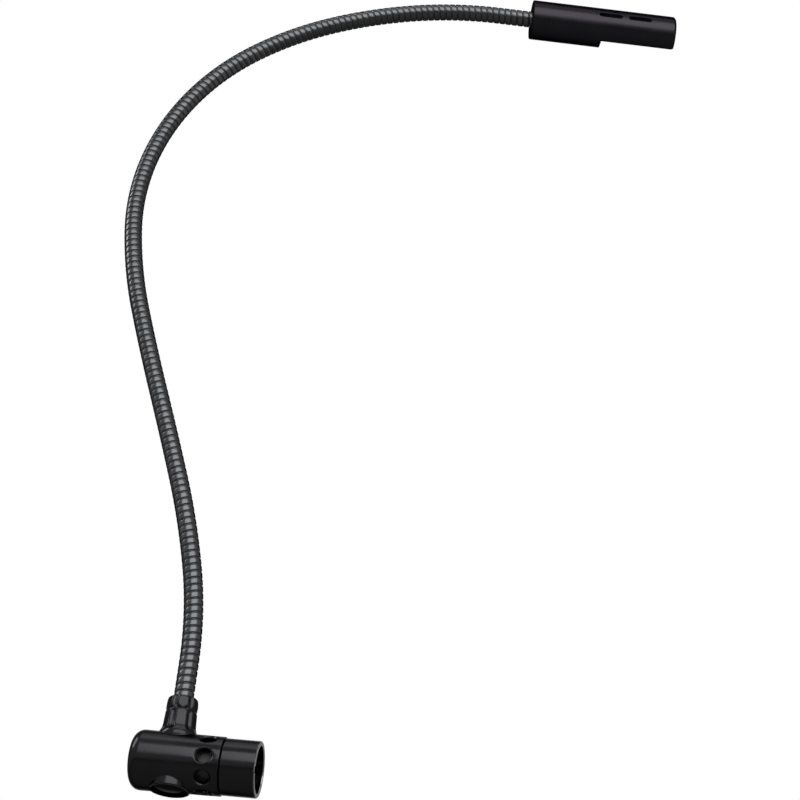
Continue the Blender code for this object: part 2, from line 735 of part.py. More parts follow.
def main():
    clear_scene()
    black_metal = make_material("black_metal", (0.012, 0.012, 0.013), 0.38, 0.6)
    neck_metal = make_material("neck_metal", (0.035, 0.036, 0.038), 0.32, 0.85)
    black_plastic = make_material("black_plastic", (0.015, 0.015, 0.015), 0.5, 0.0)
    plated = make_material("plated_contact", (0.72, 0.70, 0.66), 0.25, 1.0)
    steel = make_material("zinc_steel", (0.42, 0.42, 0.42), 0.35, 1.0)
    brass = make_material("nickel_brass", (0.62, 0.58, 0.48), 0.3, 1.0)
    glass = make_material("lamp_glass", (0.92, 0.94, 0.95), 0.05, 0.0)
    rubber = make_material("lead_jacket", (0.02, 0.02, 0.02), 0.7, 0.0)
    nylon = make_material("nylon", (0.05, 0.05, 0.05), 0.55, 0.0)
    hood_metal = make_material("hood_metal", (0.014, 0.014, 0.015), 0.42, 0.6)

    make_housing(black_metal)
    make_plug(plated, black_metal, black_plastic, steel)
    make_bottom_cap(black_metal)
    tip = make_neck(neck_metal, rubber)
    head = place(bpy.data.objects.new("head", None), tip, Matrix.Translation((0, 0, END_LENGTH)))
    make_holder(head, brass, black_plastic, steel)
    make_lamp(head, brass, glass, steel)
    make_hood(head, nylon, hood_metal)


main()
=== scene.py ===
"""The looks of a gooseneck console lamp on a right-angle plug, built round its CAD frame.

A piece is modelled about its own axis with a unit for a millimetre, then scaled down and set in the part's
frame: the origin is at the front rim of the plug's nose, +X out of the nose and +Z up. An outline is a list
of (radius, height) points along the piece's axis.
"""

import math

import bpy
from mathutils import Matrix, Vector


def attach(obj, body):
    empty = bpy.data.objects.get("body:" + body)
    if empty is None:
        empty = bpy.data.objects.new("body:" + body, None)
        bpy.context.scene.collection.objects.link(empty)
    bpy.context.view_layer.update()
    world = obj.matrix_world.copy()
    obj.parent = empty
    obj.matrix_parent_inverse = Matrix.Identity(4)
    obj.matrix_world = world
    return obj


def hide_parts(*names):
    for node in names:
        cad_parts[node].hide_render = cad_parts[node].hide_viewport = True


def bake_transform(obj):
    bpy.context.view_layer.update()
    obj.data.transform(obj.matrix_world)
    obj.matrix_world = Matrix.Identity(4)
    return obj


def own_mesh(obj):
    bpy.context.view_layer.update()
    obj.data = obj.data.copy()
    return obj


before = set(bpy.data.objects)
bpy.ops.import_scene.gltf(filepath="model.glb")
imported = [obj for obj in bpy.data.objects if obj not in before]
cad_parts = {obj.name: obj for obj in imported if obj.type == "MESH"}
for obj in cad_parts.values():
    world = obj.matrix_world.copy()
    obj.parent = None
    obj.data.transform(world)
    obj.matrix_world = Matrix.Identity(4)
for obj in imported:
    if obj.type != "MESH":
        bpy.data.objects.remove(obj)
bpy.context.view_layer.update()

# Nose and contacts, in millimetres and degrees
NOSE_R = 9.5
NOSE_BORE_R = 7.8
NOSE_LENGTH = 11.9
NOSE_EDGE = 0.3
NOSE_RIM = ((7.8, -0.35), (8.0, 0.0), (9.25, 0.0))
NOSE_STEP_R = 9.3
NOSE_TAIL_R = 8.75
NOSE_TAIL_END = -21.9
KEYWAY_ANGLE = 200.0
KEYWAY_SIZE = (7.0, 2.4, 1.7)
KEYWAY_RISE = 0.43
INSERT_R = 7.5
INSERT_FACE = -12.5
INSERT_EDGE = 0.3
PIN_R = 1.2
PIN_ROUND = 0.9
PIN_END = -24.9
PIN_TIP = -3.0
PIN_CIRCLE_R = 4.4
PIN_ANGLES = (45.0, 135.0, 270.0)
PIN_HOLE = [(1.5, -24.0), (1.5, -10.0)]

# Housing, in millimetres and degrees
FIT = 0.3
BARREL_FRONT = -12.2
BARREL_LIP = ((8.8, 0.25), (9.0, 0.0), (9.7, 0.0), (9.9, -0.2))
BARREL_MIDDLE = (10.0, -26.0)
BARREL_REAR = -43.6
BARREL_REAR_R = 10.15
BARREL_ROUND = 3.8
REAR_FLAT_R = 4.0
CHAMBER_R = 7.0
CHAMBER_END = -40.1
TAIL_SEAT_R = 8.8
HOLE_X = -17.6
HOLE_COUNT = 8
INDEX_HOLE = [(2.4, 6.6), (2.4, 8.85), (2.5, 9.1), (2.75, 9.4), (3.2, 9.7), (3.7, 9.95), (4.5, 10.3)]
BLIND_HOLE = [(2.3, 6.3), (2.3, 9.5)]
SCREW_HOLE = [(1.6, 5.2), (1.6, 9.5)]
SCREW_ANGLE = 0.0
SCREW = [(1.0, 5.5), (1.3, 5.8), (1.3, 8.8), (2.1, 8.8), (2.1, 9.45), (1.85, 9.7)]
SCREW_SLOT = (6.0, 0.8, 0.8)
NECK_X = -29.3
NECK_BORE_R = 3.7
NECK_MOUTH_R = 4.2
BOSS_R = 7.1
BOSS_FOOT = 2.0
BOSS_DROP = 9.95
BOSS_EDGE = 0.3
ACCESS_R = 5.0
ACCESS_SEAT_R = 6.4
PAST = 1.0
CAP_R = 6.1
CAP_SPIGOT_R = 4.7
CAP_SPIGOT = 1.4
CAP_SEAT = 8.35
CAP_FACE = 9.05
CAP_EDGE = 0.2
CAP_DOME = 0.6
CAP_DOME_R = 5.7
CAP_DOME_SHARES = (1.0, 0.9, 0.8, 0.7, 0.55, 0.4, 0.2, 0.08)

# Collar, in millimetres and degrees. A column is (degrees from a groove, scale).
COLLAR_LEAN = 2.0
COLLAR_TURN = 14.0
COLLAR_TOP = 22.65
COLLAR_LOBES = 6
LOBE_SIDES = 10
LOBE_TIERS = ((10.8, 17.2), (18.1, 22.3))
LOBE_COLUMNS = ((0, 0.86), (6, 0.92), (18, 0.975), (24, 0.958), (30, 0.952))
PETAL_FOOT = 17.8
PETAL_TOPS = ((12, 18.8), (18, 18.2))
PETAL_RESIZE = 0.93
COLUMN_REACH = 2

# Neck, in millimetres and degrees
NECK_TURN = 9.5
PITCH = 2.66
LINK_TURNS = 14
END_TURNS = 5
HELD_TURNS = 1
BENDS = (-12.5, -6.5, -1.0, 2.0, 10.0, 19.0, 18.5, 19.0, 15.0, 12.0, 14.0)
LINK = LINK_TURNS * PITCH
END = END_TURNS * PITCH
NECK_GAP = 0.3
BAND_R = 3.48
BAND_WIDTH = 2.32
BAND_DEPTH = 1.1
BAND_ROUND = 0.44
BAND_STEPS = 36
FILLER_R = 0.4
FILLER_CENTRE_R = 2.86
FILLER_SIDES = 10
FILLER_STEPS = 24
LEAD_R = 1.4
LEAD_IN = 20.0
LEAD_PAST_NECK = 13.5
LEAD_SIDES = 16
LEAD_RINGS = 10

# Lamp holder and lamp, in millimetres from the end of the neck, and degrees
FLANGE_START = 0.8
FLANGE_END = 1.8
FLANGE_R = 7.2
CUP_R = 6.3
CUP_BORE_R = 5.0
CUP_FLOOR = 15.3
CUP_END = 31.5
NECK_SEAT = 13.3
LEAD_HOLE_R = 1.7
HOLDER_EDGE = 0.2
BAYONET_Z = 28.3
BAYONET_ENTRY = (2.6, 2.4, 5.6)
BAYONET_ENTRY_Z = 29.9
BAYONET_ENTRY_TURN = -30.0
BAYONET_LOCK = (3.9, 5.0, 2.4)
BAYONET_LOCK_TURN = -15.0
DISC = [(1.2, 15.6), (4.7, 15.6), (4.7, 21.8), (2.5, 21.8), (2.5, 17.4), (1.2, 17.4)]
DISC_EDGE = 0.15
PLUNGER = [(0.9, 15.6), (0.9, 21.6), (2.1, 21.6), (2.1, 23.0)]
PLUNGER_ROUND = 0.4
SPRING_FOOT = 17.87
SPRING_LENGTH = 3.26
SPRING_TURNS = 4
SPRING_R = 1.7
SPRING_WIRE_R = 0.17
LAMP_CAP = [(1.2, 23.7), (1.7, 23.85), (2.0, 24.3), (4.6, 24.3), (4.6, 33.5), (3.6, 33.5), (3.6, 31.5)]
LAMP_CAP_EDGE = 0.2
LAMP_PINS = [(0.75, -5.7), (0.9, -5.5), (0.9, 5.5), (0.75, 5.7)]
GLASS_NECK = [(3.3, 31.8), (3.3, 33.8), (3.5, 34.2), (3.9, 34.6), (4.1, 35.1)]
GLASS_R = 4.1
GLASS_END = 48.4
GLASS_WALL = 0.5
DOME_STEPS = 8
DOME_STEP = 10.5
FILAMENT_HEIGHT = 40.3
FILAMENT_HALF = 1.2
FILAMENT_R = 0.32
FILAMENT_WIRE_R = 0.11
FILAMENT_PITCH = 0.3
FILAMENT_TURNS = 8
SUPPORT = [(0.2, 31.9), (0.2, 40.4), (0.12, 40.6)]
COIL_SIDES = 12
COIL_STEPS = 32

# Hood and its bush, in millimetres from the end of the neck, and degrees
BUSH = [(6.6, 2.1), (7.2, 2.1), (7.2, 27.1), (6.6, 27.1)]
BUSH_EDGE = 0.12
HOOD_R = 8.5
HOOD_BORE_R = 7.5
HOOD_START = 0.8
HOOD_LIP = 0.3
HOOD_LIP_RS = (7.7, 8.25)
HOOD_END = 63.97
HOOD_END_WALL = 1.2
HOOD_END_ROUND = 1.5
HOOD_EDGE = 0.14
HOOD_CUT = 31.8
HOOD_CUT_LENGTH = 40.0
HOOD_CUT_INSET = 0.45
HOOD_CUT_TURN = 8.5
HOOD_TURN = 90.0
VENT_STARTS = (29.6, 42.6)
VENT_LENGTH = 10.2
VENT_WIDTH = 2.2
VENT_DEPTH = 6.0

# Stage, in metres, watts and degrees
FLOOR_SIZE = 3.6
FLOOR_HEIGHT = -0.42
SOFT_LEVEL = 0.15
WHITE_LEVEL = 1.0
LIGHT_TARGET = (0.02, 0.0, 0.17)
SOFTBOXES = {
    "key_softbox": ((0.30, -1.05, 0.66), (1.45, 0.92), 21),
    "top_softbox": ((0.0, -0.1, 1.35), (0.9, 0.9), 7),
    "left_softbox": ((-1.05, -0.22, 0.85), (0.35, 0.7), 12),
}
CAMERA_PLACE = (0.11164, -0.58474, -0.20811)
CAMERA_YAW = 7.9
CAMERA_PITCH = 31.112
CAMERA_ROLL = 7.627
CAMERA_LENS = 82.85
CAMERA_SENSOR = 36.0

# Angles in degrees past which an edge is rounded or stays sharp
ROUNDED_PAST = 30.0
SHARP_PAST = 38.0

# Frames, with a unit for a millimetre
MM = Matrix.Scale(0.001, 4)
PLUG = Matrix.Rotation(math.pi / 2, 4, "Y")
DOWN = Matrix.Translation((NECK_X, 0, 0)) @ Matrix.Rotation(math.pi, 4, "X")
NECK_FOOT = Matrix.Translation((NECK_X, 0, 0)) @ Matrix.Rotation(-math.radians(COLLAR_LEAN), 4, "Y")
NECK_STAND = NECK_FOOT @ Matrix.Translation((0, 0, COLLAR_TOP + NECK_GAP))
NECK_STAND @= Matrix.Rotation(math.radians(NECK_TURN), 4, "Z")


def along_arc(length, bend, distance):
    """The frame at a distance along an arc that starts up Z and bends towards X."""
    turn = math.radians(bend) * distance / length
    if abs(turn) < 1e-9:
        return Matrix.Translation((0, 0, distance))
    radius = distance / turn
    middle = Vector((radius * (1 - math.cos(turn)), 0, radius * math.sin(turn)))
    return Matrix.Translation(middle) @ Matrix.Rotation(turn, 4, "Y")


def neck_frame(distance):
    """The frame on the neck's centreline at a distance from the collar's top."""
    at = Matrix()
    for length, bend in [(END, 0.0)] + [(LINK, bend) for bend in BENDS]:
        if distance <= length:
            return at @ along_arc(length, bend, distance)
        at = at @ along_arc(length, bend, length)
        distance -= length
    return at @ Matrix.Translation((0, 0, distance))


NECK_LENGTH = END * 2 + LINK * len(BENDS)
NECK_JOINTS = len(BENDS) + 1
HEAD = NECK_STAND @ neck_frame(NECK_LENGTH)


def outward(angle):
    """A frame on the plug's axis whose Z points out at this angle, from +Y towards +Z."""
    turn = math.radians(angle)
    across = Vector((1, 0, 0))
    out = Vector((0, math.cos(turn), math.sin(turn)))
    return Matrix((across, out.cross(across), out)).transposed().to_4x4()


def index_place(angle):
    """The frame of an index position at an angle round the plug."""
    return Matrix.Translation((HOLE_X, 0, 0)) @ outward(angle)


# Modelling tools


def activate(piece):
    bpy.ops.object.select_all(action="DESELECT")
    piece.select_set(True)
    bpy.context.view_layer.objects.active = piece


def modify(piece, kind, **settings):
    """Adds a modifier with these settings and applies it."""
    activate(piece)
    change = piece.modifiers.new(kind.lower(), kind)
    for setting, value in settings.items():
        setattr(change, setting, value)
    bpy.ops.object.modifier_apply(modifier=change.name)
    return piece


def new_piece(name):
    piece = bpy.context.object
    piece.name = name
    bpy.ops.object.transform_apply(location=True, rotation=True, scale=True)
    return piece


def close_seams(nearest=0.001):
    """Leaves edit mode with doubles merged and faces turned outwards."""
    bpy.ops.mesh.select_all(action="SELECT")
    bpy.ops.mesh.remove_doubles(threshold=nearest)
    bpy.ops.mesh.normals_make_consistent(inside=False)
    bpy.ops.object.mode_set(mode="OBJECT")


def turned(name, profile, sides=72, ring=False):
    """A piece pulled up Z ring by ring through an outline; a ring's outline closes on itself."""
    bpy.ops.object.select_all(action="DESELECT")
    radius, height = profile[0]
    bpy.ops.mesh.primitive_circle_add(
        vertices=sides,
        radius=radius,
        location=(0, 0, height),
        fill_type="NOTHING" if ring else "NGON",
    )
    piece = new_piece(name)
    bpy.ops.object.mode_set(mode="EDIT")
    bpy.ops.mesh.select_all(action="SELECT")
    for next_radius, next_height in profile[1:] + (profile[:1] if ring else []):
        rise = (0, 0, next_height - height)
        bpy.ops.mesh.extrude_region_move(TRANSFORM_OT_translate={"value": rise})
        scale = next_radius / radius
        bpy.ops.transform.resize(value=(scale, scale, 1), center_override=(0, 0, next_height))
        radius, height = next_radius, next_height
    close_seams()
    return piece


def tidy_mesh(piece):
    """Merges what lies too close together after the cuts, and turns faces outwards."""
    activate(piece)
    bpy.ops.object.mode_set(mode="EDIT")
    close_seams(0.01)


def corner(radius, height, size, start, sweep=90, steps=4):
    """Points of a rounded corner about a centre, through a sweep from a start angle."""
    points = []
    for step in range(steps + 1):
        angle = math.radians(start + sweep * step / steps)
        points.append((radius + size * math.cos(angle), height + size * math.sin(angle)))
    return points


def bar(name, size, centre, turn=0.0):
    """A square-edged cutter, turned about Z."""
    bpy.ops.object.select_all(action="DESELECT")
    bpy.ops.mesh.primitive_cube_add(size=1, location=centre, scale=size)
    piece = new_piece(name)
    piece.matrix_world = Matrix.Rotation(math.radians(turn), 4, "Z")
    return piece


def combine(piece, tool, at, operation):
    """Places a shape, joins it to a piece or cuts it away, and removes the shape."""
    tool.matrix_world = at @ tool.matrix_world
    modify(piece, "BOOLEAN", operation=operation, solver="EXACT", object=tool)
    bpy.data.objects.remove(tool)
    return piece


def cut(piece, tool, at=Matrix()):
    return combine(piece, tool, at, "DIFFERENCE")


def join(piece, tool, at=Matrix()):
    return combine(piece, tool, at, "UNION")


def soften(piece, width, segments=3):
    """Rounds the sharp edges of a piece."""
    return modify(
        piece,
        "BEVEL",
        width=width,
        segments=segments,
        limit_method="ANGLE",
        angle_limit=math.radians(ROUNDED_PAST),
        miter_outer="MITER_ARC",
    )


def wire_section(name, sides, radius, centre_r, height):
    """The outline of a round wire, beside Z."""
    bpy.ops.object.select_all(action="DESELECT")
    bpy.ops.mesh.primitive_circle_add(
        vertices=sides, radius=radius, location=(centre_r, 0, height), rotation=(math.pi / 2, 0, 0)
    )
    return new_piece(name)


def wind(section, pitch, turns, steps):
    """Winds a section's outline right-handed up Z, and closes the two ends."""
    modify(
        section,
        "SCREW",
        axis="Z",
        angle=math.tau,
        screw_offset=pitch,
        iterations=turns,
        steps=steps,
        render_steps=steps,
    )
    bpy.ops.object.mode_set(mode="EDIT")
    bpy.ops.mesh.select_all(action="DESELECT")
    bpy.ops.mesh.select_mode(type="EDGE")
    bpy.ops.mesh.select_non_manifold()
    bpy.ops.mesh.fill_holes(sides=0)
    close_seams()
    return section


def coil(name, wire_r, coil_r, pitch, turns, foot):
    """A round wire coiled up Z."""
    return wind(wire_section(name, COIL_SIDES, wire_r, coil_r, foot), pitch, turns, COIL_STEPS)


def settle(piece, at, material):
    """Sets a piece in the part's frame at true size, its place in its mesh, and gives it its finish."""
    piece.matrix_world = MM @ at @ piece.matrix_world
    activate(piece)
    bpy.ops.object.transform_apply(location=True, rotation=True, scale=True)
    bpy.ops.object.shade_smooth_by_angle(angle=math.radians(SHARP_PAST))
    if not piece.data.materials:
        piece.data.materials.append(material)
    return piece


def mount(piece, at, material, body, nodes):
    """Settles a rigid piece and lets it ride on its body in the stead of its CAD nodes."""
    settle(piece, at, material)
    modify(piece, "WEIGHTED_NORMAL", keep_sharp=True)
    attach(piece, body)
    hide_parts(*nodes)
    return piece


def shade_below(piece, material, height):
    """Gives a piece its finish, and painted shade to the faces below a height: a flat black that reflects
    nothing.
    """
    piece.data.materials.append(material)
    piece.data.materials.append(PAINTED_SHADE_BLACK)
    for face in piece.data.polygons:
        face.material_index = int(face.center.z < height)


def pick(piece, chosen):
    """Enters edit mode with the vertices selected that a test picks."""
    activate(piece)
    bpy.ops.object.mode_set(mode="EDIT")
    bpy.ops.mesh.select_mode(type="VERT")
    bpy.ops.mesh.select_all(action="DESELECT")
    bpy.ops.object.mode_set(mode="OBJECT")
    for vertex in piece.data.vertices:
        vertex.select = chosen(vertex.co)
    bpy.ops.object.mode_set(mode="EDIT")


def pinch(piece, chosen, scale):
    """Resizes the vertices that a test picks, about Z."""
    pick(piece, chosen)
    bpy.ops.transform.resize(value=(scale, scale, 1), center_override=(0, 0, 0))
    bpy.ops.object.mode_set(mode="OBJECT")


# Finishes


def add_group(name, inputs, outputs):
    """A shader group with named value sockets. Returns its tree, input node and output node."""
    tree = bpy.data.node_groups.new(name, "ShaderNodeTree")
    for label, value in inputs.items():
        socket = tree.interface.new_socket(label, in_out="INPUT", socket_type="NodeSocketFloat")
        socket.default_value = value
    for label in outputs:
        tree.interface.new_socket(label, in_out="OUTPUT", socket_type="NodeSocketFloat")
    return tree, tree.nodes.new("NodeGroupInput"), tree.nodes.new("NodeGroupOutput")


def grain_group():
    """A fine grain and slow patches over a surface. Size is the grain's, in millimetres."""
    tree, given, result = add_group("surface_grain", {"Size": 0.4, "Patch": 8.0}, ("Grain", "Patches"))
    place = tree.nodes.new("ShaderNodeTexCoord")
    for socket, detail, output in (("Size", 2.0, "Grain"), ("Patch", 4.0, "Patches")):
        scale = tree.nodes.new("ShaderNodeMath")
        scale.operation = "DIVIDE"
        scale.inputs[0].default_value = 1000.0
        noise = tree.nodes.new("ShaderNodeTexNoise")
        noise.inputs["Detail"].default_value = detail
        tree.links.new(given.outputs[socket], scale.inputs[1])
        tree.links.new(scale.outputs[0], noise.inputs["Scale"])
        tree.links.new(place.outputs["Object"], noise.inputs["Vector"])
        tree.links.new(noise.outputs["Fac"], result.inputs[output])
    return tree


GRAIN = grain_group()


def finish(
    name, light, dark, rough, metallic=0.0, specular=0.5, tint=1.0, size=0.4, patch=8.0, bump=0.1, edge=0.0
):
    """Two tones in slow patches, a range of roughness and a fine raised grain.

    Size and patch are in millimetres. Edge is the radius that edges are shaded with, in metres.
    """
    made = bpy.data.materials.new(name)
    made.use_nodes = True
    tree = made.node_tree
    shader = tree.nodes["Principled BSDF"]
    shader.inputs["Metallic"].default_value = metallic
    shader.inputs["Specular IOR Level"].default_value = specular
    shader.inputs["Specular Tint"].default_value = (tint, tint, tint, 1)
    grain = tree.nodes.new("ShaderNodeGroup")
    grain.node_tree = GRAIN
    grain.inputs["Size"].default_value = size
    grain.inputs["Patch"].default_value = patch
    tone = tree.nodes.new("ShaderNodeMix")
    tone.name = "tone"
    tone.data_type = "RGBA"
    tone.inputs["A"].default_value = (*dark, 1)
    tone.inputs["B"].default_value = (*light, 1)
    spread = tree.nodes.new("ShaderNodeMapRange")
    spread.name = "roughness_range"
    spread.inputs["From Min"].default_value = 0.3
    spread.inputs["From Max"].default_value = 0.7
    spread.inputs["To Min"].default_value = rough[0]
    spread.inputs["To Max"].default_value = rough[1]
    raised = tree.nodes.new("ShaderNodeBump")
    raised.inputs["Strength"].default_value = bump
    raised.inputs["Distance"].default_value = size * 0.0001
    if edge:
        rounded = tree.nodes.new("ShaderNodeBevel")
        rounded.samples = 6
        rounded.inputs["Radius"].default_value = edge
        tree.links.new(rounded.outputs["Normal"], raised.inputs["Normal"])
    tree.links.new(grain.outputs["Patches"], tone.inputs["Factor"])
    tree.links.new(tone.outputs["Result"], shader.inputs["Base Color"])
    tree.links.new(grain.outputs["Patches"], spread.inputs["Value"])
    tree.links.new(spread.outputs["Result"], shader.inputs["Roughness"])
    tree.links.new(grain.outputs["Grain"], raised.inputs["Height"])
    tree.links.new(raised.outputs["Normal"], shader.inputs["Normal"])
    return made


def pale_rim(material, edge, width, colour):
    """Gives a paler metal colour past a place along X, with a broken border. Edge and width are in metres.
    """
    tree = material.node_tree
    shader = tree.nodes["Principled BSDF"]
    place = tree.nodes.new("ShaderNodeTexCoord")
    parts = tree.nodes.new("ShaderNodeSeparateXYZ")
    noise = tree.nodes.new("ShaderNodeTexNoise")
    noise.inputs["Scale"].default_value = 900.0
    offset = tree.nodes.new("ShaderNodeMath")
    offset.operation = "MULTIPLY_ADD"
    offset.inputs[1].default_value = width
    mask = tree.nodes.new("ShaderNodeMapRange")
    mask.inputs["From Min"].default_value = edge
    mask.inputs["From Max"].default_value = edge + width
    blend = tree.nodes.new("ShaderNodeMix")
    blend.data_type = "RGBA"
    blend.inputs["B"].default_value = (*colour, 1)
    tree.links.new(place.outputs["Object"], parts.inputs["Vector"])
    tree.links.new(place.outputs["Object"], noise.inputs["Vector"])
    tree.links.new(noise.outputs["Fac"], offset.inputs[0])
    tree.links.new(parts.outputs["X"], offset.inputs[2])
    tree.links.new(offset.outputs[0], mask.inputs["Value"])
    tree.links.new(mask.outputs["Result"], blend.inputs["Factor"])
    tree.links.new(tree.nodes["tone"].outputs["Result"], blend.inputs["A"])
    tree.links.new(blend.outputs["Result"], shader.inputs["Base Color"])
    return material


def clear_glass():
    tones = ((1.0, 1.0, 1.0), (0.96, 0.98, 0.98))
    made = finish("lamp_glass_clear", *tones, (0.01, 0.06), patch=3.0, bump=0.0)
    shader = made.node_tree.nodes["Principled BSDF"]
    shader.inputs["Transmission Weight"].default_value = 1.0
    return made


def metal(name, light, dark, rough, **more):
    """A finish of bare, plated or blackened metal."""
    return finish(name, light, dark, rough, metallic=1.0, **more)


def grey(level):
    return (level, level, level)


COAT = ((0.017, 0.017, 0.018), (0.013, 0.013, 0.014), (0.17, 0.24))
BLACK_COAT = metal("black_coat", *COAT, tint=0.45, bump=0.06, edge=0.0004)
NOSE_COAT = metal("nose_coat", *COAT, tint=0.45, bump=0.06)
# The front rim of the nose is paler than the coat.
pale_rim(NOSE_COAT, -0.0002, 0.0003, (0.15, 0.15, 0.145))
HOOD_COAT = metal("hood_coat", (0.016, 0.015, 0.017), (0.013, 0.012, 0.014), (0.24, 0.32), tint=0.3)
NECK_BAND = metal(
    "neck_band", (0.058, 0.059, 0.061), (0.042, 0.043, 0.045), (0.2, 0.3), tint=0.12, patch=5.0
)
NECK_FILLER = metal("neck_filler", (0.045, 0.046, 0.047), (0.030, 0.031, 0.032), (0.35, 0.5))
SILVERED = metal("silvered_pin", (0.74, 0.72, 0.68), (0.55, 0.52, 0.47), (0.18, 0.32), patch=2.0)
ZINC = metal("zinc_plate", (0.45, 0.45, 0.44), (0.33, 0.33, 0.33), (0.3, 0.42), patch=2.0)
NICKEL = metal("nickel_plate", (0.64, 0.60, 0.51), (0.50, 0.46, 0.37), (0.2, 0.34), patch=4.0)
# Painted shade: a flat black that reflects nothing, for the back end of the head.
PAINTED_SHADE_BLACK = finish("painted_shade_black", grey(0.006), grey(0.003), (0.7, 0.85), specular=0.0)
MOULDED = finish("moulded_black", grey(0.016), grey(0.009), (0.45, 0.6), specular=0.3)
GLASS = clear_glass()
RUBBER = finish("lead_rubber", grey(0.022), grey(0.014), (0.6, 0.8), specular=0.3, bump=0.3)
NYLON = finish("bush_nylon", grey(0.055), grey(0.040), (0.48, 0.6), bump=0.2)


# Housing


def make_collar():
    """Six flat-faced lobes in two tiers, with grooves between them and a waist between the tiers."""
    outline = [
        (7.3, 6.0),
        (7.3, 8.6),
        (7.0, 9.5),
        (6.55, 10.3),
        (6.15, 11.1),
        (5.9, 12.2),
        (5.8, 14.0),
        (5.7, 16.0),
        (5.65, 17.0),
        (5.5, 17.4),
        (5.05, 17.65),
        (5.35, 17.95),
        (5.6, 18.3),
        (5.65, 19.0),
        (5.6, 20.4),
        (5.45, 21.6),
        (5.3, 22.2),
        (5.0, 22.55),
        (4.7, COLLAR_TOP),
        (4.3, COLLAR_TOP),
    ]
    collar = turned("collar", outline, COLLAR_LOBES * LOBE_SIDES)
    per_lobe = 360 / COLLAR_LOBES

    def pinch_column(offset, low, high, scale):
        """Pinches the sides at an offset in degrees from the grooves, between two heights."""

        def in_column(point):
            angle = math.degrees(math.atan2(point.y, point.x))
            from_groove = abs((angle + per_lobe / 2) % per_lobe - per_lobe / 2)
            return abs(from_groove - offset) < COLUMN_REACH and low < point.z < high

        pinch(collar, in_column, scale)

    for offset, scale in LOBE_COLUMNS:
        for low, high in LOBE_TIERS:
            pinch_column(offset, low, high, scale)
    for offset, high in PETAL_TOPS:
        pinch_column(offset, PETAL_FOOT, high, PETAL_RESIZE)
    modify(collar, "SUBSURF", levels=1, render_levels=1)
    return collar


def make_housing():
    """The casting is turned about the plug's axis, joined to its boss and collar, and bored."""
    tail_stop = NOSE_TAIL_END - FIT
    outline = [(CHAMBER_R, CHAMBER_END), (CHAMBER_R, tail_stop), (TAIL_SEAT_R, tail_stop)]
    outline += [(radius, BARREL_FRONT + rise) for radius, rise in BARREL_LIP]
    outline += [BARREL_MIDDLE]
    outline += corner(BARREL_REAR_R - BARREL_ROUND, BARREL_REAR + BARREL_ROUND, BARREL_ROUND, 0, -90, 8)
    outline += [(REAR_FLAT_R, BARREL_REAR)]
    housing = turned("housing_casting", outline, 96)

    from_plug = PLUG.inverted()
    edge_start = BOSS_DROP - BOSS_EDGE
    rounded = corner(BOSS_R - BOSS_EDGE, edge_start, BOSS_EDGE, 0)
    boss = turned("boss", [(BOSS_R, BOSS_FOOT), (BOSS_R, edge_start)] + rounded, 64)
    join(housing, boss, from_plug @ DOWN)
    lobes = Matrix.Rotation(math.radians(COLLAR_TURN), 4, "Z")
    join(housing, make_collar(), from_plug @ NECK_FOOT @ lobes)

    bore = [(NECK_BORE_R, PAST), (NECK_BORE_R, COLLAR_TOP - FIT), (NECK_MOUTH_R, COLLAR_TOP + PAST)]
    cut(housing, turned("neck_bore", bore, 48), from_plug @ NECK_FOOT)
    seat = CAP_SEAT - FIT
    access = [(ACCESS_R, PAST), (ACCESS_R, seat), (ACCESS_SEAT_R, seat), (ACCESS_SEAT_R, BOSS_DROP + PAST)]
    cut(housing, turned("access_hole", access, 64), from_plug @ DOWN)
    for hole in range(HOLE_COUNT):
        cut(housing, turned("index_hole", INDEX_HOLE, 48), from_plug @ index_place(360 * hole / HOLE_COUNT))
    tidy_mesh(housing)
    mount(housing, PLUG, BLACK_COAT, "base", ["connector_housing"])


def drill_tail(piece):
    """Drills the screw's hole and, at the other index positions, a wide blind hole."""
    for hole in range(HOLE_COUNT):
        angle = 360 * hole / HOLE_COUNT
        profile = SCREW_HOLE if angle == SCREW_ANGLE else BLIND_HOLE
        cut(piece, turned("drill", profile, 32), PLUG.inverted() @ index_place(angle))


def make_nose():
    outline = [*NOSE_RIM, (NOSE_R, -NOSE_EDGE), (NOSE_R, NOSE_EDGE - NOSE_LENGTH)]
    outline += [(NOSE_STEP_R, -NOSE_LENGTH), (NOSE_TAIL_R, -NOSE_LENGTH)]
    outline += [(NOSE_TAIL_R, NOSE_TAIL_END), (NOSE_BORE_R, NOSE_TAIL_END)]
    sleeve = turned("nose_sleeve", outline, 96, ring=True)
    keyway = bar("keyway", KEYWAY_SIZE, (0, 0, NOSE_BORE_R + KEYWAY_RISE))
    cut(sleeve, keyway, PLUG.inverted() @ outward(KEYWAY_ANGLE))
    drill_tail(sleeve)
    mount(sleeve, PLUG, NOSE_COAT, "base", ["nose_shell"])


def make_contacts():
    outline = [(INSERT_R, NOSE_TAIL_END), (INSERT_R, INSERT_FACE - INSERT_EDGE)]
    outline += [(INSERT_R - INSERT_EDGE, INSERT_FACE)]
    insert = turned("contact_carrier", outline, 64)
    shank = PIN_TIP - PIN_ROUND
    tip = corner(PIN_R - PIN_ROUND, shank, PIN_ROUND, 0)
    for number, angle in enumerate(PIN_ANGLES, 1):
        spot = Matrix.Translation(outward(angle) @ Vector((0, 0, PIN_CIRCLE_R)))
        cut(insert, turned("pin_hole", PIN_HOLE, 32), PLUG.inverted() @ spot @ PLUG)
        pin = turned(f"plug_pin_{number}", [(PIN_R, PIN_END), (PIN_R, shank)] + tip, 32)
        mount(pin, spot @ PLUG, SILVERED, "base", [f"contact_pin_{number}"])
    drill_tail(insert)
    mount(insert, PLUG, MOULDED, "base", ["contact_insert"])


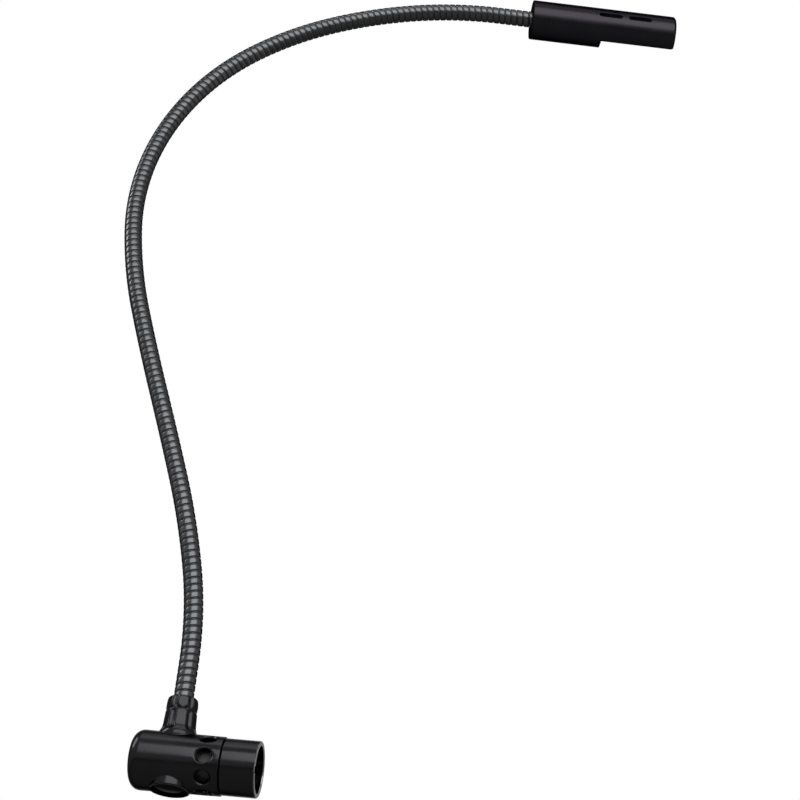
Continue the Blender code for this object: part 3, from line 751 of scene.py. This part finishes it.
def make_screw_and_cap():
    screw = turned("locking_screw", SCREW, 40)
    cut(screw, bar("slot", SCREW_SLOT, (0, 0, SCREW[-1][1])))
    mount(screw, index_place(SCREW_ANGLE), ZINC, "base", ["retaining_screw"])

    outline = [(CAP_SPIGOT_R, CAP_SEAT - CAP_SPIGOT), (CAP_SPIGOT_R, CAP_SEAT), (CAP_R, CAP_SEAT)]
    outline += corner(CAP_R - CAP_EDGE, CAP_FACE - CAP_EDGE, CAP_EDGE, 0)
    outline += [(CAP_DOME_R * share, CAP_FACE + CAP_DOME * (1 - share**2)) for share in CAP_DOME_SHARES]
    mount(turned("access_cap", outline, 72), DOWN, BLACK_COAT, "base", ["bottom_cap"])


# Neck


def neck_line():
    """The neck's centreline as a curve, with a straight length before and after it."""
    line = bpy.data.curves.new("neck_line", "CURVE")
    line.dimensions = "3D"
    spline = line.splines.new("POLY")
    step = PITCH / 2
    count = round((NECK_LENGTH + LEAD_IN * 2) / step)
    spline.points.add(count)
    for number, point in enumerate(spline.points):
        distance = number * step - LEAD_IN
        at = Matrix.Translation((0, 0, distance)) if distance < 0 else neck_frame(distance)
        point.co = (*at.translation, 1)
    made = bpy.data.objects.new("neck_line", line)
    bpy.context.scene.collection.objects.link(made)
    return made


def band_section():
    """The outline of the flat outer band, with well rounded edges."""
    bpy.ops.object.select_all(action="DESELECT")
    bpy.ops.mesh.primitive_plane_add(
        size=1, location=(BAND_R - BAND_DEPTH / 2, 0, 0), rotation=(math.pi / 2, 0, 0)
    )
    bpy.context.object.scale = (BAND_DEPTH, BAND_WIDTH, 1)
    piece = new_piece("neck_cover")
    bpy.ops.object.mode_set(mode="EDIT")
    bpy.ops.mesh.select_all(action="SELECT")
    bpy.ops.mesh.bevel(offset=BAND_ROUND, segments=5, affect="VERTICES")
    bpy.ops.mesh.delete(type="ONLY_FACE")
    bpy.ops.object.mode_set(mode="OBJECT")
    return piece


def winding(turns):
    """A straight length of band with the wire between its turns, the pattern for the neck's covers."""
    band = wind(band_section(), PITCH, turns, BAND_STEPS)
    band.data.materials.append(NECK_BAND)
    wire = wire_section("filler", FILLER_SIDES, FILLER_R, FILLER_CENTRE_R, PITCH / 2)
    filler = wind(wire, PITCH, turns, FILLER_STEPS)
    filler.data.materials.append(NECK_FILLER)
    activate(band)
    filler.select_set(True)
    bpy.ops.object.join()
    return band


def lead_pattern(length):
    """A straight length of lead with enough rings to follow the neck."""
    outline = [(LEAD_R, length * ring / LEAD_RINGS) for ring in range(LEAD_RINGS + 1)]
    return turned("lead_pattern", outline, LEAD_SIDES)


def lay_along(pattern, name, start, line):
    """Copies a straight pattern, sets it at a distance along the neck and bends it to the centreline."""
    activate(pattern)
    bpy.ops.object.duplicate()
    piece = bpy.context.object
    piece.name = name
    bpy.ops.transform.translate(value=(0, 0, start + LEAD_IN))
    bpy.ops.object.transform_apply(location=True)
    return modify(piece, "CURVE", object=line, deform_axis="POS_Z")


def bend_with(piece, number, material, nodes):
    """Settles a piece that crosses a joint of the neck, and hides its CAD nodes."""
    settle(piece, NECK_STAND, material)
    joint = NECK_STAND @ neck_frame(END + (number - 1) * LINK)
    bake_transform(piece)
    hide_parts(*nodes)


def make_neck():
    """Each cover runs from the middle of one link to the middle of the next, across their joint."""
    line = neck_line()
    end_pattern = winding(HELD_TURNS + END_TURNS + LINK_TURNS // 2)
    link_pattern = winding(LINK_TURNS)
    root_lead = lead_pattern(HELD_TURNS * PITCH + END + LINK / 2)
    tip_lead = lead_pattern(LINK / 2 + END + LEAD_PAST_NECK)
    link_lead = lead_pattern(LINK)
    for number in range(1, NECK_JOINTS + 1):
        start = END + (number - 1.5) * LINK
        cover, lead = link_pattern, link_lead
        nodes = [f"neck_link_{number:02d}"]
        leads = [f"lead_{number:02d}"]
        if number == 1:
            start = -HELD_TURNS * PITCH
            cover, lead = end_pattern, root_lead
            nodes.append("neck_root")
        if number == NECK_JOINTS:
            cover, lead = end_pattern, tip_lead
            nodes, leads = ["neck_tip"], ["lead_tip"]
        laid = lay_along(cover, f"neck_cover_{number:02d}", start, line)
        bend_with(laid, number, NECK_BAND, nodes)
        laid = lay_along(lead, f"lead_length_{number:02d}", start, line)
        bend_with(laid, number, RUBBER, leads)
    for helper in (line, end_pattern, link_pattern, root_lead, tip_lead, link_lead):
        bpy.data.objects.remove(helper)


def make_root_lead():
    """The lead from the contacts up to the neck, bent as a curve."""
    reach = PIN_END - NECK_X
    bpy.ops.object.select_all(action="DESELECT")
    bpy.ops.curve.primitive_bezier_curve_add()
    lead = bpy.context.object
    lead.name = "lead_from_contacts"
    first, last = lead.data.splines[0].bezier_points
    up = NECK_FOOT.to_3x3() @ Vector((0, 0, 1))
    first.co = (PIN_END, 0, 0)
    first.handle_left = (PIN_END + reach, 0, 0)
    first.handle_right = (NECK_X + reach / 3, 0, 0)
    last.co = NECK_FOOT @ Vector((0, 0, COLLAR_TOP - HELD_TURNS * PITCH))
    last.handle_left = NECK_FOOT @ Vector((0, 0, reach * 2))
    last.handle_right = last.co + up
    lead.data.bevel_depth = LEAD_R
    lead.data.bevel_resolution = 4
    lead.data.use_fill_caps = True
    bpy.ops.object.convert(target="MESH")
    tidy_mesh(lead)
    mount(lead, Matrix(), RUBBER, "base", ["lead_root"])


# Head


def make_holder():
    outline = [(NECK_BORE_R, FLANGE_START), (FLANGE_R, FLANGE_START), (FLANGE_R, FLANGE_END)]
    outline += [(CUP_R, FLANGE_END), (CUP_R, CUP_END), (CUP_BORE_R, CUP_END), (CUP_BORE_R, CUP_FLOOR)]
    outline += [(LEAD_HOLE_R, CUP_FLOOR), (LEAD_HOLE_R, NECK_SEAT), (NECK_BORE_R, NECK_SEAT)]
    holder = soften(turned("bayonet_holder", outline, 72, ring=True), HOLDER_EDGE)
    for side in (0, 180):
        entry = (CUP_R, 0, BAYONET_ENTRY_Z)
        cut(holder, bar("slot_in", BAYONET_ENTRY, entry, side + BAYONET_ENTRY_TURN))
        lock = (CUP_R, 0, BAYONET_Z)
        cut(holder, bar("slot_across", BAYONET_LOCK, lock, side + BAYONET_LOCK_TURN))
    # The holder's nickel flange is painted flat black as shade.
    shade_below(holder, NICKEL, FLANGE_END)
    mount(holder, HEAD, NICKEL, "head", ["lamp_holder"])

    insulator = soften(turned("insulating_disc", DISC, 48, ring=True), DISC_EDGE)
    mount(insulator, HEAD, MOULDED, "head", ["holder_insulator"])

    radius, height = PLUNGER[-1]
    tip = corner(radius - PLUNGER_ROUND, height, PLUNGER_ROUND, 0)[1:]
    plunger = turned("centre_contact", PLUNGER + tip, 40)
    mount(plunger, HEAD, NICKEL, "plunger", ["contact_plunger"])

    bush = soften(turned("friction_bush", BUSH, 72, ring=True), BUSH_EDGE)
    mount(bush, HEAD, NYLON, "bush", ["hood_bush"])


def make_spring():
    pitch = SPRING_LENGTH / SPRING_TURNS
    spring = coil("contact_coil", SPRING_WIRE_R, SPRING_R, pitch, SPRING_TURNS, SPRING_FOOT)
    mount(spring, HEAD, ZINC, "head", ["contact_spring"])
    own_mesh(spring)


def make_lamp():
    across = Matrix.Rotation(math.pi / 2, 4, "Y")
    cap = soften(turned("bayonet_cap", LAMP_CAP, 64), LAMP_CAP_EDGE)
    join(cap, turned("pins", LAMP_PINS, 24), Matrix.Translation((0, 0, BAYONET_Z)) @ across)
    mount(cap, HEAD, NICKEL, "head", ["lamp_cap"])

    dome = GLASS_END - GLASS_R
    outline = GLASS_NECK + [(GLASS_R, dome)]
    outline += corner(0, dome, GLASS_R, 0, DOME_STEP * DOME_STEPS, DOME_STEPS)[1:]
    glass = turned("lamp_envelope", outline, 48)
    modify(glass, "SOLIDIFY", thickness=GLASS_WALL, offset=-1)
    mount(glass, HEAD, GLASS, "head", ["lamp_glass"])

    filament = coil(
        "filament_coil", FILAMENT_WIRE_R, FILAMENT_R, FILAMENT_PITCH, FILAMENT_TURNS, -FILAMENT_HALF
    )
    filament.matrix_world = Matrix.Translation((0, 0, FILAMENT_HEIGHT)) @ across
    pieces = [filament]
    for side in (-FILAMENT_HALF, FILAMENT_HALF):
        post = turned("support_wire", SUPPORT, 16)
        post.matrix_world = Matrix.Translation((side, 0, 0))
        pieces.append(post)
    activate(filament)
    for piece in pieces:
        piece.select_set(True)
    bpy.ops.object.join()
    bpy.ops.object.transform_apply(location=True, rotation=True, scale=True)
    mount(filament, HEAD, ZINC, "head", ["lamp_filament"])


def vent_cutter(start):
    """A round-ended slot cutter on the side of the hood that faces away from its opening."""
    bpy.ops.object.select_all(action="DESELECT")
    stretch = (VENT_LENGTH - VENT_WIDTH) / 2
    centre = (-HOOD_R, 0, start + VENT_LENGTH / 2)
    bpy.ops.mesh.primitive_cylinder_add(
        vertices=32,
        radius=VENT_WIDTH / 2,
        depth=VENT_DEPTH,
        location=centre,
        rotation=(0, math.pi / 2, 0),
    )
    piece = new_piece("vent")
    for side in (-1, 1):

        def in_end(point):
            return (point.z - centre[2]) * side > 0.01

        pick(piece, in_end)
        bpy.ops.transform.translate(value=(0, 0, side * stretch))
        bpy.ops.object.mode_set(mode="OBJECT")
    return piece


def make_hood():
    lip = HOOD_START + HOOD_LIP
    lip_in, lip_out = HOOD_LIP_RS
    end = HOOD_END - HOOD_END_ROUND
    outline = [(HOOD_BORE_R, HOOD_END - HOOD_END_WALL), (HOOD_BORE_R, lip)]
    outline += [(lip_in, HOOD_START), (lip_out, HOOD_START), (HOOD_R, lip), (HOOD_R, end)]
    outline += corner(HOOD_R - HOOD_END_ROUND, end, HOOD_END_ROUND, 0, steps=6)[1:]
    hood = turned("hood_shell", outline, 96)
    size = (HOOD_R * 2, HOOD_R * 3, HOOD_CUT_LENGTH)
    centre = (HOOD_R + HOOD_CUT_INSET, 0, HOOD_CUT + HOOD_CUT_LENGTH / 2)
    cut(hood, bar("opening", size, centre, -HOOD_CUT_TURN))
    for start in VENT_STARTS:
        cut(hood, vent_cutter(start))
    soften(hood, HOOD_EDGE, 2)
    # The hood is black at its back end; its rear lip is painted flat black with no reflection, as shade.
    shade_below(hood, HOOD_COAT, lip)
    turn = Matrix.Rotation(math.radians(HOOD_TURN), 4, "Z")
    mount(hood, HEAD @ turn, HOOD_COAT, "hood_body", ["hood"])


# Stage


def make_floor():
    bpy.ops.object.select_all(action="DESELECT")
    bpy.ops.mesh.primitive_plane_add(size=FLOOR_SIZE, location=(0, 0, FLOOR_HEIGHT))
    floor = new_piece("floor")
    pale = finish("pale_floor", grey(0.44), grey(0.41), (0.8, 0.9), specular=0.1, patch=600.0)
    floor.data.materials.append(pale)


def make_world():
    """Soft light all round, and plain white where the camera, metal or glass looks past the object."""
    world = bpy.data.worlds.new("studio")
    bpy.context.scene.world = world
    world.use_nodes = True
    tree = world.node_tree
    tree.nodes.clear()
    rays = tree.nodes.new("ShaderNodeLightPath")
    seen = rays.outputs["Is Camera Ray"]
    for ray in ("Is Glossy Ray", "Is Transmission Ray"):
        either = tree.nodes.new("ShaderNodeMath")
        either.operation = "MAXIMUM"
        tree.links.new(seen, either.inputs[0])
        tree.links.new(rays.outputs[ray], either.inputs[1])
        seen = either.outputs[0]
    mixed = tree.nodes.new("ShaderNodeMixShader")
    tree.links.new(seen, mixed.inputs[0])
    for socket, level in enumerate((SOFT_LEVEL, WHITE_LEVEL), 1):
        light = tree.nodes.new("ShaderNodeBackground")
        light.inputs["Color"].default_value = (1, 1, 1, 1)
        light.inputs["Strength"].default_value = level
        tree.links.new(light.outputs[0], mixed.inputs[socket])
    output = tree.nodes.new("ShaderNodeOutputWorld")
    tree.links.new(mixed.outputs[0], output.inputs["Surface"])


def add_softbox(name, place, size, watts):
    bpy.ops.object.light_add(type="AREA", location=place)
    lamp = bpy.context.object
    lamp.name = name
    lamp.data.shape = "RECTANGLE"
    lamp.data.size, lamp.data.size_y = size
    lamp.data.energy = watts
    lamp.rotation_euler = (Vector(LIGHT_TARGET) - Vector(place)).to_track_quat("-Z", "Y").to_euler()


def make_camera():
    """The camera of the photograph: below the hood and in front of the plug, looking up."""
    yaw = math.radians(CAMERA_YAW)
    pitch = math.radians(CAMERA_PITCH)
    roll = math.radians(CAMERA_ROLL)
    ahead = Vector((-math.sin(yaw) * math.cos(pitch), math.cos(yaw) * math.cos(pitch), math.sin(pitch)))
    level = Vector((math.cos(yaw), math.sin(yaw), 0))
    above = level.cross(ahead)
    right = math.cos(roll) * level + math.sin(roll) * above
    up = math.cos(roll) * above - math.sin(roll) * level
    turn = Matrix((right, up, -ahead)).transposed().to_4x4()
    bpy.ops.object.camera_add()
    camera = bpy.context.object
    camera.matrix_world = Matrix.Translation(CAMERA_PLACE) @ turn
    camera.data.sensor_width = CAMERA_SENSOR
    camera.data.lens = CAMERA_LENS
    camera.data.clip_start = 0.01
    bpy.context.scene.camera = camera


make_housing()
make_nose()
make_contacts()
make_screw_and_cap()
make_root_lead()
make_neck()
make_holder()
make_spring()
make_lamp()
make_hood()

make_floor()
make_world()
for name, (place, size, watts) in SOFTBOXES.items():
    add_softbox(name, place, size, watts)
make_camera()
bpy.context.scene.view_settings.view_transform = "Standard"
